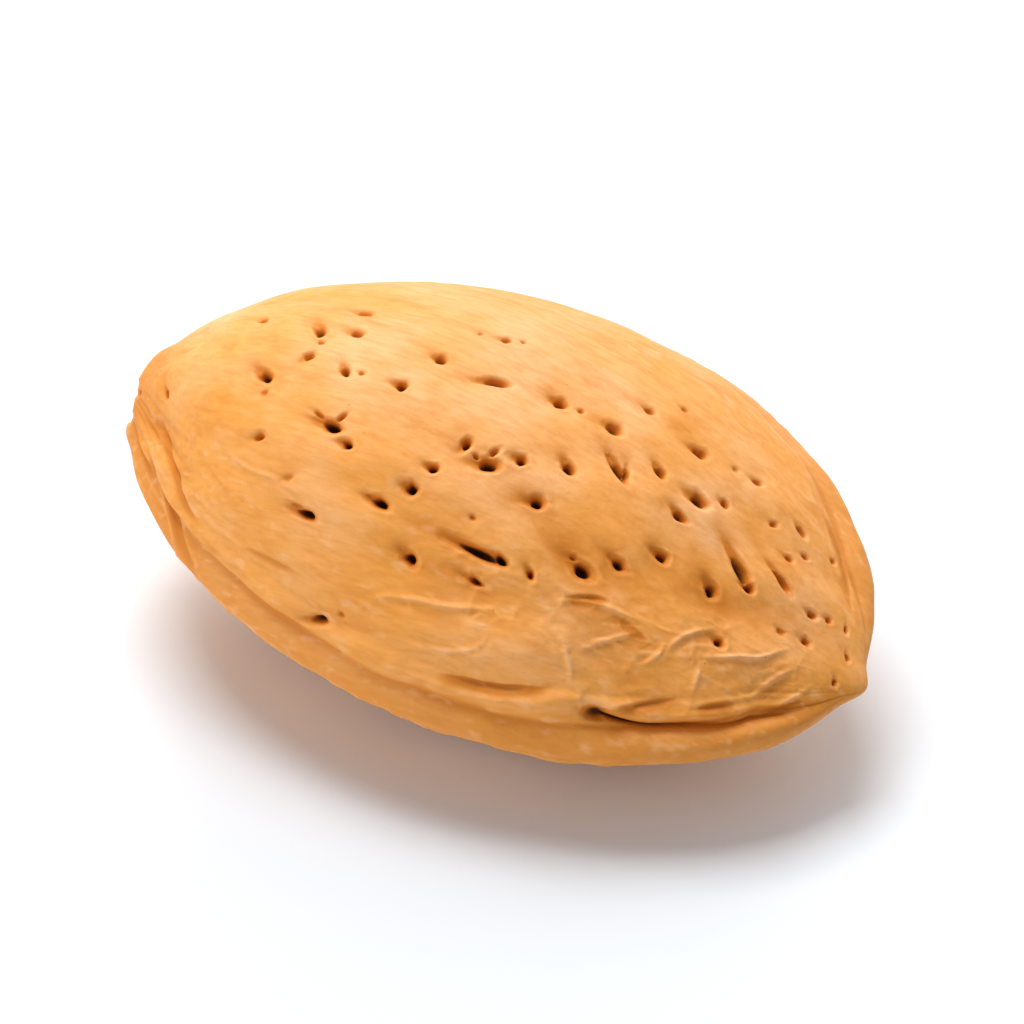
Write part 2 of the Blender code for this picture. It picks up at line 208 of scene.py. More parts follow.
UPPER_PITS = (
    (-16.4, -2.1, 0.7, 0.4, -60, 0.5),
    (-13.5, 2.5, 0.6, 0.5, 0, 0.4),
    (-11.5, -1.1, 0.9, 0.6, -30, 0.8),
    (-10.3, 2.3, 1.0, 0.6, -45, 0.8),
    (-9.9, 0.5, 0.7, 0.5, 60, 0.5),
    (-10.1, -4.0, 0.7, 0.5, 20, 0.4),
    (-9.1, 4.5, 1.0, 0.5, 0, 0.5),
    (-8.6, 2.8, 0.8, 0.6, 0, 0.6),
    (-7.8, 0.2, 0.8, 0.5, -50, 0.6),
    (-7.0, -2.7, 1.3, 0.6, 0, 1.0),
    (-5.8, -3.3, 0.6, 0.5, 0, 0.8),
    (-6.5, -6.4, 1.2, 0.5, -8, 0.9),
    (-5.0, 0.5, 0.6, 0.6, 0, 0.8),
    (-4.2, 3.0, 0.6, 0.6, 0, 0.8),
    (-4.3, -9.4, 1.1, 0.5, 5, 0.7),
    (-3.2, -5.1, 1.1, 0.5, -5, 0.9),
    (-2.3, 5.9, 0.6, 0.5, 20, 0.4),
    (-2.1, -4.0, 0.6, 0.6, 0, 0.9),
    (-1.6, -2.8, 0.6, 0.5, 0, 0.8),
    (-1.3, 3.1, 1.5, 0.5, 28, 0.7),
    (-0.9, -6.6, 0.8, 0.6, -20, 0.9),
    (-0.8, -0.9, 0.7, 0.5, 80, 0.7),
    (0.6, -1.4, 1.0, 0.7, 20, 1.0),
    (1.7, 3.8, 0.7, 0.7, 0, 0.9),
    (1.8, -0.4, 0.6, 0.6, 0, 0.8),
    (2.0, -5.2, 2.4, 0.5, 2, 1.0),
    (2.4, -6.3, 1.0, 0.4, -5, 0.6),
    (3.4, -1.9, 0.8, 0.6, 20, 0.9),
    (3.8, 0.5, 0.8, 0.6, -40, 0.9),
    (4.4, 4.0, 0.8, 0.7, 0, 0.6),
    (4.6, -5.0, 0.6, 0.4, -40, 0.6),
    (5.1, 6.3, 0.6, 0.5, -20, 0.5),
    (5.8, 1.8, 1.5, 0.5, -37, 1.0),
    (6.6, -3.6, 1.2, 0.7, -10, 1.0),
    (7.3, 3.1, 0.8, 0.5, -35, 0.8),
    (7.9, -2.4, 0.8, 0.5, -10, 0.8),
    (8.1, 5.6, 0.8, 0.6, 0, 0.7),
    (9.1, 1.5, 0.8, 0.5, -20, 0.8),
    (9.4, 2.9, 1.0, 0.8, 0, 0.9),
    (9.4, -0.9, 0.8, 0.6, 0, 0.9),
    (10.4, 3.7, 0.5, 0.5, 0, 0.5),
    (10.9, 6.0, 0.6, 0.5, 0, 0.4),
    (12.0, -0.8, 0.8, 0.6, -30, 0.9),
    (12.6, 0.9, 2.1, 0.6, -35, 0.9),
    (13.3, -2.9, 0.6, 0.5, 0, 0.6),
    (13.7, 5.0, 0.8, 0.4, -30, 0.5),
    (14.0, 3.2, 0.5, 0.4, 0, 0.4),
    (14.3, 1.8, 1.6, 0.4, -25, 0.6),
    (16.1, 1.3, 0.6, 0.4, 0, 0.4),
    (16.5, -0.1, 0.5, 0.5, 0, 0.4),
)
FAINT_MARKS = (
    (-11.0, -2.0, 0.5, 0.5, 0, 0.2),
    (-9.8, 1.5, 0.5, 0.4, 0, 0.25),
    (-7.0, 0.35, 0.4, 0.4, 0, 0.25),
    (-7.9, -5.3, 0.9, 0.5, 35, 0.15),
    (1.1, -4.0, 0.5, 0.4, 0, 0.2),
    (-3.2, -9.1, 0.5, 0.4, 0, 0.2),
    (2.7, 3.95, 0.4, 0.4, 0, 0.3),
    (6.3, 7.5, 0.5, 0.4, 0, 0.25),
    (-3.5, 5.6, 0.4, 0.4, 0, 0.15),
    (-1.6, 6.3, 0.4, 0.4, 0, 0.2),
    (9.8, 5.9, 0.6, 0.5, 0, 0.15),
    (12.6, 4.4, 0.5, 0.4, 0, 0.3),
    (14.5, 3.9, 0.5, 0.4, 0, 0.3),
    (15.5, 4.9, 0.4, 0.4, 0, 0.25),
    (15.4, -0.5, 0.7, 0.5, 0, 0.2),
    (16.8, 1.6, 0.45, 0.4, 0, 0.3),
    (-18.1, -1.4, 0.4, 0.4, 0, 0.25),
    (-7.8, -2.4, 1.0, 0.35, -15, 0.3),
    (-6.7, -2.2, 0.8, 0.3, 60, 0.35),
    (-7.0, -6.2, 1.1, 0.4, -10, 0.25),
    (-3.7, -5.0, 1.0, 0.4, 0, 0.25),
    (0.55, -0.7, 0.7, 0.35, 70, 0.35),
    (-0.1, -1.3, 0.5, 0.3, 170, 0.35),
    (3.1, -5.05, 0.8, 0.5, 0, 1.1),
    (6.0, -3.3, 0.7, 0.4, 0, 0.35),
    (13.3, 0.4, 0.6, 0.5, 0, 1.0),
    (6.1, 1.9, 0.9, 0.35, -70, 0.5),
    (18.3, -0.9, 0.5, 0.3, -50, 0.3),
    (18.2, 0.6, 0.5, 0.3, -60, 0.3),
    (17.6, 1.8, 0.6, 0.3, -60, 0.25),
)

# %% [markdown]
# A place is given as seen from straight above. The curve of the side gives its height, and
# two short steps along and across give the direction that the pit is sunk in.

# %% Place of a pit
SLOPE_STEP = 0.05


def side_point(along, across, is_upper):
    station = 2.0 * along / LENGTH
    share = across / edge_distance(station, across < 0.0)
    rise = math.sqrt(max(0.0, 1.0 - share * share))
    return np.array([along, across, float(side_height(station, rise, is_upper))])


def pit_frame(pit):
    """The pit's place, its long and short directions and the way out of the shell."""
    here = side_point(pit.along, pit.across, pit.is_upper)
    ahead = side_point(pit.along + SLOPE_STEP, pit.across, pit.is_upper) - here
    aside = side_point(pit.along, pit.across + SLOPE_STEP, pit.is_upper) - here
    outward = np.cross(ahead, aside) * (1.0 if pit.is_upper else -1.0)
    outward /= np.linalg.norm(outward)
    ahead /= np.linalg.norm(ahead)
    turn = math.radians(pit.turn)
    ahead = ahead * math.cos(turn) + np.cross(outward, ahead) * math.sin(turn)
    return here, ahead, np.cross(outward, ahead), outward


# %% Pits in rows
ROW_SPACING = 2.3
PIT_SPACING = 2.9
PIT_SPACING_CHANGE = (0.8, 1.25)
PIT_JITTER = 0.7
PIT_LENGTHS = (0.6, 1.5)
PIT_WIDTHS = (0.5, 0.7)
PIT_DEPTHS = (0.5, 0.9)
PIT_LONGEST_TURN = 40.0
PIT_CLEARANCE = 1.6
PITTED_LENGTH_SHARE = 0.86
PITTED_WIDTH_SHARE = 0.8
SEED = 7


def is_pitted(along, across):
    station = 2.0 * along / LENGTH
    if abs(station) > PITTED_LENGTH_SHARE:
        return False
    return abs(across) < PITTED_WIDTH_SHARE * edge_distance(station, across < 0.0)


def pit_rows(draw):
    """Rows of pits along the under side, each pit a little off its row."""
    across = -KEEL_WIDTH
    while across < BACK_WIDTH:
        along = -LENGTH / 2 + draw.uniform(0.0, PIT_SPACING)
        while along < LENGTH / 2:
            place_along = along + draw.uniform(-PIT_JITTER, PIT_JITTER)
            place_across = across + draw.uniform(-PIT_JITTER, PIT_JITTER)
            length = draw.uniform(*PIT_LENGTHS)
            width = draw.uniform(*PIT_WIDTHS)
            turn = draw.uniform(-PIT_LONGEST_TURN, PIT_LONGEST_TURN)
            depth = draw.uniform(*PIT_DEPTHS)
            if is_pitted(place_along, place_across):
                yield Pit(place_along, place_across, False, length, width, turn, depth)
            along += PIT_SPACING * draw.uniform(*PIT_SPACING_CHANGE)
        across += ROW_SPACING


# %% All pits together
def read_pits(table):
    return [Pit(along, across, True, *shape) for along, across, *shape in table]


def place_of(pit):
    return side_point(pit.along, pit.across, pit.is_upper)


pits = read_pits(UPPER_PITS)
for pit in pit_rows(random.Random(SEED)):
    gaps = [np.linalg.norm(place_of(other) - place_of(pit)) for other in pits]
    if min(gaps) > PIT_CLEARANCE:
        pits.append(pit)
faint_marks = read_pits(FAINT_MARKS)
print("pits:", len(pits), "and fainter marks:", len(faint_marks))

# %% [markdown]
# ## Lines given one by one
#
# Some thin raised lines and some creases show more than the rest, and give this shell its
# face. Each is a height or a depth and a chain of places as seen from above. The corners of
# the chain are cut until it is smooth, and then it is laid on the side of the nut.

# %% Raised lines and creases
RAISED_LINES = (
    (0.11, ((-2.5, -8.5), (-1.3, -8.1), (0.2, -7.8), (1.7, -7.6), (3.6, -6.9), (4.6, -6.8))),
    (0.12, ((5.7, -5.8), (6.5, -5.1), (7.9, -4.5), (9.0, -4.3), (10.4, -4.1), (11.1, -4.1))),
    (0.09, ((11.1, -4.1), (11.3, -4.5), (11.1, -5.2), (10.5, -5.9))),
    (0.09, ((7.6, -6.8), (8.0, -6.5), (8.9, -5.6), (9.8, -4.8), (10.3, -4.3))),
    (0.10, ((11.3, -5.1), (11.4, -4.8), (11.6, -4.0), (12.2, -3.1), (13.1, -2.3))),
    (0.07, ((3.3, -7.4), (3.9, -7.8), (3.7, -8.3), (2.7, -8.8), (1.2, -9.1), (-0.4, -9.2))),
    (0.07, ((6.7, -6.2), (7.4, -6.8), (8.1, -7.5), (8.0, -8.0))),
    (0.12, ((12.3, -4.3), (13.4, -3.6), (14.3, -2.9), (15.1, -2.4), (15.7, -1.5), (16.3, -0.6))),
    (0.08, ((13.0, -4.0), (13.1, -5.0), (13.2, -5.6))),
    (0.10, ((15.4, -4.3), (15.8, -3.2), (16.2, -2.3), (16.9, -1.3))),
    (0.10, ((16.5, -3.7), (17.2, -2.6), (17.7, -1.5))),
    (0.08, ((8.2, -8.2), (9.0, -8.0), (10.4, -7.5), (11.4, -6.6))),
    (0.06, ((0.8, -9.8), (1.3, -10.1), (2.7, -9.9), (4.9, -9.5), (6.4, -9.0))),
    (0.05, ((-12.6, -4.0), (-10.5, -5.2), (-8.4, -5.4), (-6.0, -6.0))),
    (0.09, ((-16.9, -3.7), (-15.6, -4.9), (-13.2, -6.9), (-11.2, -8.1), (-9.0, -8.9))),
)
CREASES = (
    (0.20, ((10.0, -7.7), (10.8, -7.3), (11.5, -6.8), (13.0, -5.7))),
    (0.22, ((1.6, -9.7), (4.7, -9.2), (6.1, -8.7), (7.0, -8.4), (7.8, -7.8))),
    (0.19, ((13.3, -6.0), (14.2, -5.2), (15.2, -4.4))),
    (0.19, ((16.1, -4.2), (16.7, -3.6), (17.2, -3.0), (17.5, -2.5))),
    (0.20, ((6.2, -5.2), (6.9, -4.8), (7.8, -4.3), (8.5, -4.2))),
    (0.12, ((8.6, -4.6), (9.6, -4.6), (10.9, -4.8))),
    (0.08, ((-9.8, -7.6), (-7.6, -8.0), (-5.3, -8.4))),
    (0.16, ((-17.2, -2.0), (-15.3, -4.2), (-14.0, -5.3), (-13.0, -6.3), (-11.0, -7.4))),
    (0.14, ((-17.3, -2.9), (-16.2, -4.1), (-14.6, -5.6), (-12.5, -7.3), (-10.0, -8.6))),
    (0.05, ((-13.0, -4.8), (-11.0, -6.0), (-9.6, -6.5))),
    (0.10, ((13.0, 7.9), (14.8, 6.6), (16.0, 5.2), (16.9, 3.7), (17.8, 2.0))),
)

# %% Lay a line on the side
LINE_STEP = 0.05
LINE_FADE = 0.4
CORNER_CUTS = 3


def cut_corners(corners):
    """Cut the corners of a chain of places until it is a smooth line."""
    line = np.array(corners)
    for _ in range(CORNER_CUTS):
        near_start = 0.75 * line[:-1] + 0.25 * line[1:]
        near_end = 0.25 * line[:-1] + 0.75 * line[1:]
        pairs = np.stack([near_start, near_end], axis=1).reshape(-1, 2)
        line = np.concatenate([line[:1], pairs, line[-1:]])
    return line


def lay_line(corners):
    """Places along a line on the upper side, the way to its keel side, and its fade."""
    line = cut_corners(corners)
    run = np.concatenate([[0.0], np.cumsum(np.hypot(*np.diff(line, axis=0).T))])
    steps = np.linspace(0.0, run[-1], int(run[-1] / LINE_STEP))
    flat = np.stack([np.interp(steps, run, line[:, i]) for i in (0, 1)], axis=1)
    places = np.array([side_point(along, across, True) for along, across in flat])
    keelward = np.gradient(places, axis=0)[:, [1, 0, 2]] * (1.0, -1.0, 0.0)
    share = steps / run[-1]
    fade = smooth_step(0.0, LINE_FADE, share) * smooth_step(0.0, LINE_FADE, 1.0 - share)
    return places, keelward / np.linalg.norm(keelward, axis=1, keepdims=True), fade


def make_tree(places):
    """A tree that finds the nearest of many places."""
    tree = kdtree.KDTree(len(places))
    for index, place in enumerate(places):
        tree.insert(place, index)
    tree.balance()
    return tree


laid_raised = [(height, *lay_line(corners)) for height, corners in RAISED_LINES]
laid_creases = [(depth, *lay_line(corners)) for depth, corners in CREASES]
print("raised lines:", len(laid_raised), "and creases:", len(laid_creases))

# %% [markdown]
# ## Finer faces where the detail is
#
# A pit is half a millimetre wide, so it needs faces of less than a tenth of a millimetre,
# which would be far too many for the whole shell. So the faces round each pit, along the
# crack, along the lines and at the stem are selected and subdivided, once for a wide ring and
# once more close in. This is done on the sphere, where a new point only has to be pushed out
# to the radius.

# %% Subdivide marked faces
bpy.ops.object.mode_set(mode="EDIT")
bpy.ops.mesh.select_mode(type="FACE")
bpy.ops.object.mode_set(mode="OBJECT")


def face_middles():
    """The middle of each face of the sphere, as a point, its station and its angle."""
    middles = np.empty(len(shell.data.polygons) * 3)
    shell.data.polygons.foreach_get("center", middles)
    station, around = station_and_angle(middles.reshape(-1, 3) / MM)
    return body_points(station, around), station, around


def subdivide(marked):
    """Split the marked faces in four and push the new points out to the sphere."""
    bpy.ops.object.mode_set(mode="EDIT")
    bpy.ops.mesh.select_all(action="DESELECT")
    bpy.ops.object.mode_set(mode="OBJECT")
    shell.data.polygons.foreach_set("select", marked)
    bpy.ops.object.mode_set(mode="EDIT")
    bpy.ops.mesh.subdivide(number_cuts=1)
    bpy.ops.object.mode_set(mode="OBJECT")
    points = read_points(shell.data)
    points *= SPHERE_RADIUS / np.linalg.norm(points, axis=1, keepdims=True)
    write_points(shell.data, points)


# %% Choose the faces
PIT_RINGS = (0.5, 0.2)
LINE_RINGS = (0.55, 0.35)
CRACK_LANES = (math.radians(10.0), math.radians(7.0))
# stations where the crack starts to open, is open, starts to close and is closed
UPPER_CRACK = (0.47, 0.52, 0.82, 0.97)
UNDER_CRACK = (-0.65, -0.50, 0.30, 0.48)
STEM_RINGS = (4.5, 2.6)
DEEPEST_REACH = 2.0


def near_pits(points, margin):
    near = np.zeros(len(points), dtype=bool)
    for pit in pits + faint_marks:
        here, ahead, aside, outward = pit_frame(pit)
        offset = points - here
        along = (offset @ ahead) / (pit.length / 2 + margin)
        across = (offset @ aside) / (pit.width / 2 + margin)
        near |= (along**2 + across**2 < 1.0) & (np.abs(offset @ outward) < DEEPEST_REACH)
    return near


def near_crack(station, around, lanes):
    lane, on_keel_side, is_upper = split_angle(around)
    starts = np.where(is_upper, UPPER_CRACK[0], UNDER_CRACK[0])
    ends = np.where(is_upper, UPPER_CRACK[3], UNDER_CRACK[3])
    inside = (station > starts) & (station < ends) & on_keel_side
    return inside & (np.abs(lane - SEAM_LANE) < lanes)


line_tree = make_tree(np.concatenate([laid[1] for laid in laid_raised + laid_creases]))


def near_lines(points, margin):
    return np.array([line_tree.find(point)[2] < margin for point in points])


rings = zip(PIT_RINGS, LINE_RINGS, CRACK_LANES, STEM_RINGS)
for pit_ring, line_ring, lanes, stem_ring in rings:
    points, station, around = face_middles()
    marked = near_pits(points, pit_ring) | near_lines(points, line_ring)
    marked |= near_crack(station, around, lanes)
    marked |= (station < 0.0) & (np.hypot(points[:, 1], points[:, 2]) < stem_ring)
    subdivide(marked)
    print("faces:", len(shell.data.polygons))

# %% [markdown]
# ## Bend the sphere into the nut
#
# Each point keeps its station and its angle, and moves to the smooth body. The directions
# out of that smooth body are kept, because all the relief is raised along them.

# %% Move the points to the smooth body
station, around = station_and_angle(read_points(shell.data))
lane, on_keel_side, is_upper = split_angle(around)
smooth_points = body_points(station, around)
write_points(shell.data, smooth_points)
outward = np.empty(len(shell.data.vertices) * 3)
shell.data.vertices.foreach_get("normal", outward)
outward = outward.reshape(-1, 3)
print("smooth body in mm:", np.ptp(smooth_points, axis=0).round(2))

# %% [markdown]
# ## The seams
#
# The two halves of the shell meet along the keel and along the back. The keel has a rounded
# lip, a groove above it that opens into a crack towards the tip, and a ragged ledge above
# that. The back has one thin ridge. Each is a bell over the angle from the edge.

# %% Crack in the keel
# stations where the crack's path starts to rise, is highest and is level again
CRACK_START = (0.30, 0.46, 0.66)
CRACK_START_RISE = math.radians(6.5)
CRACK_END_FALL = math.radians(3.8)
CRACK_END = (0.70, 0.82)
CRACK_MOUTH = (0.497, 0.024)
CRACK_MOUTH_LANE_WIDTH = math.radians(2.4)
CRACK_MOUTH_DEPTH = 0.42
GROOVE_LANE_WIDTH = math.radians(3.4)
CRACK_DEPTH = 0.34
SLIT_DEPTH = 0.45
SLIT_LANE_WIDTH = math.radians(0.9)
SLIT_WOBBLE = math.radians(1.3)
SLIT_WAVES = (0.11, 4.7)
SLIT_NARROWS = (0.5, 0.75)
SLIT_AT_TIP = 0.35


def waver(values, length, shift):
    """Noise along one line, between about -1 and 1."""
    return np.array([noise.noise((value / length, shift, 0.0)) for value in values])


rises, highest, level = CRACK_START
crack_shift = CRACK_START_RISE * smooth_step(rises, highest, station)
crack_shift *= 1.0 - smooth_step(highest, level, station)
crack_shift -= CRACK_END_FALL * smooth_step(*CRACK_END, station)
crack_shift *= is_upper
seam_path = SEAM_LANE + SLIT_WOBBLE * waver(station, *SLIT_WAVES)
crack_path = seam_path + crack_shift
crack_ranges = np.where(is_upper[:, None], UPPER_CRACK, UNDER_CRACK).T
crack_open = smooth_step(crack_ranges[0], crack_ranges[1], station)
crack_open *= 1.0 - smooth_step(crack_ranges[2], crack_ranges[3], station)
crack = CRACK_DEPTH * crack_open * bell(lane, crack_path, GROOVE_LANE_WIDTH)
narrowing = 1.0 - (1.0 - SLIT_AT_TIP) * smooth_step(*SLIT_NARROWS, np.abs(station))
slit = SLIT_DEPTH * narrowing * crack_open * bell(lane, crack_path, SLIT_LANE_WIDTH)
mouth = bell(station, *CRACK_MOUTH) * bell(lane, crack_path, CRACK_MOUTH_LANE_WIDTH)
slit = np.maximum(slit, CRACK_MOUTH_DEPTH * mouth * is_upper)
print("slit depth in mm:", slit.max().round(2))

# %% Lip, groove and ledge
LIP_HEIGHT = 0.42
LIP_LANE_WIDTH = math.radians(7.5)
GROOVE_DEPTH = 0.14
FINE_LINE_DEPTH = 0.10
FINE_LINE_LANE_WIDTH = math.radians(1.4)
LEDGE_HEIGHT = 0.24
LEDGE_LANE = math.radians(19.0)
LEDGE_LANE_WIDTH = math.radians(3.6)
LEDGE_LEVEL = 0.75
LEDGE_RAGGEDNESS = 0.6
LEDGE_WAVES = (0.05, 9.3)

groove = GROOVE_DEPTH * bell(lane, seam_path, GROOVE_LANE_WIDTH)
groove += FINE_LINE_DEPTH * bell(lane, seam_path, FINE_LINE_LANE_WIDTH)
ragged = LEDGE_LEVEL + LEDGE_RAGGEDNESS * waver(station, *LEDGE_WAVES)
ledge = LEDGE_HEIGHT * ragged * bell(lane, LEDGE_LANE + crack_shift, LEDGE_LANE_WIDTH)
keel = LIP_HEIGHT * bell(lane, 0.0, LIP_LANE_WIDTH) - groove - crack - slit + ledge
print("crack depth in mm:", round(float((groove + crack + slit).max()), 2))

# %% Back
BACK_RIDGE_HEIGHT = 0.26
BACK_RIDGE_LANE_WIDTH = math.radians(5.0)
BACK_GROOVE_DEPTH = 0.14
BACK_RIDGE_AT_STEM = 0.45
BACK_RIDGE_GROWS = (-0.6, 0.8)
BACK_RIDGE_RAGGEDNESS = 0.35
BACK_RIDGE_WAVES = (0.04, 2.9)

growth = smooth_step(*BACK_RIDGE_GROWS, station)
growth = BACK_RIDGE_AT_STEM + (1.0 - BACK_RIDGE_AT_STEM) * growth
growth *= 1.0 + BACK_RIDGE_RAGGEDNESS * waver(station, *BACK_RIDGE_WAVES)
ridge = BACK_RIDGE_HEIGHT * bell(lane, 0.0, BACK_RIDGE_LANE_WIDTH)
back = growth * (ridge - BACK_GROOVE_DEPTH * bell(lane, SEAM_LANE, GROOVE_LANE_WIDTH))
seams = np.where(on_keel_side, keel, back)
print("seams in mm:", seams.min().round(2), seams.max().round(2))

# %% [markdown]
# ## Folds, net and strands
#
# As the hull dried, the shell under it wrinkled. There are long soft folds, a net of thin
# raised lines beside the keel and towards the tip, and fine strands that run along the edges
# and gather at the stem. Folds are plain noise, stretched along the nut. The net is the
# borders of random cells. The strands are noise over the angle and the station.

# %% Folds
# each layer's depth, length along the nut, width across it and shift
FOLD_LAYERS = (
    (0.42, 9.0, 6.0, 3.1),
    (0.42, 6.0, 2.4, 11.7),
    (0.16, 3.2, 1.8, 27.3),
)
FOLDS_AT_BACK = 0.55
FOLDS_AT_STEM = 0.55
FOLDS_GROW_TO_TIP = (-0.3, 0.7)
FOLDS_AT_EDGE = 0.4
FOLDS_FULL_LANE = math.radians(25.0)
x, y, z = smooth_points.T


def waves(length, width, shift):
    """Noise over the shell, long along the nut, between about -1 and 1."""
    places = zip(x / length + shift, y / width, z / width - shift)
    return np.array([noise.noise(place) for place in places])


near_keel = 1.0 - smooth_step(-KEEL_WIDTH / 2, KEEL_WIDTH / 2, y)
near_tip = smooth_step(*FOLDS_GROW_TO_TIP, station)
folds = sum(depth * waves(*shape) for depth, *shape in FOLD_LAYERS)
folds *= FOLDS_AT_BACK + (1.0 - FOLDS_AT_BACK) * near_keel
folds *= FOLDS_AT_STEM + (1.0 - FOLDS_AT_STEM) * near_tip
folds *= FOLDS_AT_EDGE + (1.0 - FOLDS_AT_EDGE) * smooth_step(0.0, FOLDS_FULL_LANE, lane)
print("folds in mm:", folds.min().round(2), folds.max().round(2))

# %% Net
# each layer's height, length along the nut, width across it and shift
NET_LAYERS = ((0.045, 5.2, 2.1, 41.3), (0.03, 3.0, 1.2, 57.9))
NET_LINE_WIDTH = 0.10
NET_WARP = 0.5
NET_ELSEWHERE = 0.25
NET_BELOW = 0.6
NET_STARTS = (-4.0, 1.5)
NET_ENDS_ACROSS = (-3.0, 1.0)
NET_LANES = (math.radians(14.0), math.radians(24.0))


def cell_borders(length, width, shift):
    """1 on the borders of random cells that are long along the nut, 0 inside them."""
    warps = NET_WARP * waves(length / 2, width, shift)
    places = zip(x / length + shift, y / width + warps, z / width - warps)
    gaps = np.array([np.diff(noise.voronoi(place)[0][:2])[0] for place in places])
    return bell(gaps, 0.0, NET_LINE_WIDTH)


in_net = smooth_step(*NET_STARTS, x) * (1.0 - smooth_step(*NET_ENDS_ACROSS, y))
in_net = np.where(is_upper, in_net, NET_BELOW * near_keel)
net = sum(height * cell_borders(*shape) for height, *shape in NET_LAYERS)
net *= NET_ELSEWHERE + (1.0 - NET_ELSEWHERE) * in_net
net *= smooth_step(*NET_LANES, lane)
print("net height in mm:", net.max().round(3))

# %% Strands
STRAND_HEIGHT = 0.15
STRAND_LANE = math.radians(2.6)
STRAND_STATION = 0.30
STRAND_SHIFT = 8.6
OTHER_SIDE_SHIFT = 3.0
STRANDS_FROM_KEEL = math.radians(24.0)
STRANDS_REACH = math.radians(17.0)
STRANDS_FADE_IN = (math.radians(2.0), math.radians(8.0))
STRANDS_BELOW = 0.6
STRANDS_FAR_FROM_STEM = 0.4
STEM_STRANDS_END = (-1.0, -0.2)


def strand_waves():
    """Noise that is long along the nut and fine across it, another on each side."""
    along = station / STRAND_STATION + STRAND_SHIFT
    sides = OTHER_SIDE_SHIFT * is_upper + STRAND_SHIFT
    places = zip(along, lane / STRAND_LANE, sides)
    return np.array([noise.noise(place) for place in places])


near_stem = 1.0 - smooth_step(*STEM_STRANDS_END, station)
strands = STRAND_HEIGHT * strand_waves() * bell(lane, STRANDS_FROM_KEEL, STRANDS_REACH)
strands *= STRANDS_FAR_FROM_STEM + (1.0 - STRANDS_FAR_FROM_STEM) * near_stem
strands *= smooth_step(*STRANDS_FADE_IN, lane)
strands *= np.where(is_upper, 1.0, STRANDS_BELOW)
print("strands in mm:", strands.min().round(2), strands.max().round(2))

# %% [markdown]
# ## The stem scar and the tip
#
# Where the stem was, the shell has an oval hollow with a raised ring. A ring of uneven holes
# lies in it, where vessels were torn off, and woody fibres between them. Soft flutes run out
# from it over the shell. The tip ends in a small nub. Scar and nub are moved along the nut and
# not outwards, because the outward direction turns fast there.

# %% Uneven rounds
radius = np.hypot(y, z)
turn_round = np.arctan2(z, -y)


def ring_noise(fineness, shift, per_mm=0.0):
    """Noise that runs round the nut's ends without a break, between about -1 and 1."""
    rounds = zip(fineness * np.cos(turn_round) + shift, fineness * np.sin(turn_round))
    return np.array([noise.noise((*pair, r)) for pair, r in zip(rounds, per_mm * radius)])


def uneven(amount, shape):
    return amount * ring_noise(*shape)


# %% Floor and ring of the scar
SCAR_RADIUS = 2.0
SCAR_FLOOR_RADIUS = 1.1
SCAR_DEPTH = 0.75
SCAR_RING_RADIUS = 2.3
SCAR_RING_HEIGHT = 0.27
SCAR_RING_WIDTH = 0.55
# an unevenness is an amount and a noise: fineness round the end, shift and waves per mm
SCAR_UNEVEN = (0.14, (2.0, 6.1))
RING_UNEVEN = (0.4, (2.5, 2.7))

uneven_radius = radius * (1.0 + uneven(*SCAR_UNEVEN))
scar_floor = SCAR_DEPTH * (1.0 - smooth_step(SCAR_FLOOR_RADIUS, SCAR_RADIUS, uneven_radius))
scar_ring = SCAR_RING_HEIGHT * bell(uneven_radius, SCAR_RING_RADIUS, SCAR_RING_WIDTH)
scar_ring *= 1.0 + uneven(*RING_UNEVEN)
print("scar ring in mm:", scar_ring.min().round(2), scar_ring.max().round(2))

# %% Holes, core and fibres of the scar
SCAR_HOLES = 13
SCAR_HOLE_DEPTH = 0.55
SCAR_HOLE_RADIUS = 1.75
SCAR_HOLE_WIDTH = 0.34
SCAR_CORE_DEPTH = 0.35
SCAR_CORE_RADIUS = 0.5
SCAR_CORE_PLACE = (-0.3, 0.2)
SCAR_FIBRE_HEIGHT = 0.2
SCAR_FIBRES_END = (1.7, 2.5)
RIBS_UNEVEN = (4.5, (1.7, 3.3))
HOLE_SIZE = 0.45
HOLE_SIZES_UNEVEN = (1.5, (3.0, 5.9))
HOLE_RADIUS_UNEVEN = (0.15, (2.6, 8.8))
CORE_UNEVEN = (0.5, (1.5, 1.9))
FIBRES_UNEVEN = (SCAR_FIBRE_HEIGHT, (7.0, 9.4, 0.9))

scar_fibres = uneven(*FIBRES_UNEVEN) * (1.0 - smooth_step(*SCAR_FIBRES_END, radius))
between_ribs = 0.5 + 0.5 * np.cos(SCAR_HOLES * turn_round + uneven(*RIBS_UNEVEN))
hole_sizes = np.clip(HOLE_SIZE + uneven(*HOLE_SIZES_UNEVEN), 0.0, 1.0)
hole_radius = SCAR_HOLE_RADIUS * (1.0 + uneven(*HOLE_RADIUS_UNEVEN))
scar_holes = SCAR_HOLE_DEPTH * hole_sizes * between_ribs**2
scar_holes *= bell(radius, hole_radius, SCAR_HOLE_WIDTH)
core_y, core_z = SCAR_CORE_PLACE
core_offset = np.hypot(y - core_y, z - core_z) * (1.0 + uneven(*CORE_UNEVEN))
scar_core = SCAR_CORE_DEPTH * bell(core_offset, 0.0, SCAR_CORE_RADIUS)
scar = (scar_floor + scar_holes + scar_core - scar_ring - scar_fibres) * (station < 0.0)
print("scar depth in mm:", scar.max().round(2))

# %% Flutes
FLUTE_HEIGHT = 0.16
FLUTES_REACH = (2.0, 3.0, 4.2, 8.0)
FLUTES_END_STATION = -0.5
FLUTES_FADE_UPWARD = 0.75
FLUTES_FADE_TURNS = (0.5, 1.2)
FLUTES_UNEVEN = (FLUTE_HEIGHT, (6.5, 4.4, 0.12))

